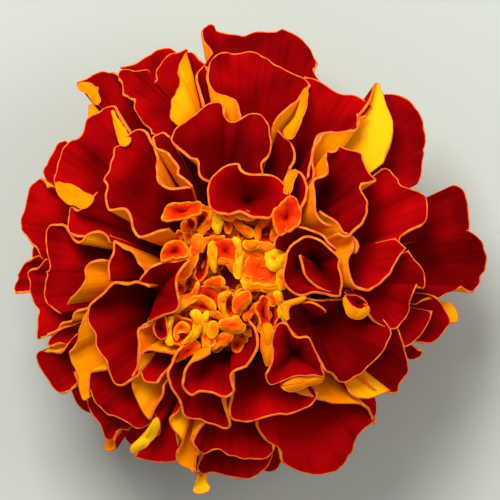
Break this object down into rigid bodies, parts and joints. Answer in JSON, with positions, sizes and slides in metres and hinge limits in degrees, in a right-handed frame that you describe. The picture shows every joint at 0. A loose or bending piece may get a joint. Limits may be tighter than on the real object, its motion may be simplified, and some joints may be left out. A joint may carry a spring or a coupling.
{
  "type": "marigold flower",
  "caption": "Open head of a double French marigold, red ruffled petals edged in gold round an orange disc, with its green cup and a short end of stem, lying face up.",
  "frame": {"origin": "middle of the bottom of the part's box, on the surface that the lowest petals rest on", "axes": "+Z up along the flower's axis, out of its face; +Y is up in the view from straight above"},
  "size_m": [0.0478, 0.047, 0.0273],
  "materials": {
    "petal": "velvety, edged in gold, yellow underside",
    "disc": "soft, waxy",
    "cup": "smooth, ribbed",
    "stem": "smooth, finely ribbed"
  },
  "bodies": {
    "root": {"ray_florets": "petal", "disc_florets": "disc", "involucre": "cup", "peduncle": "stem"}
  },
  "joints": []
}
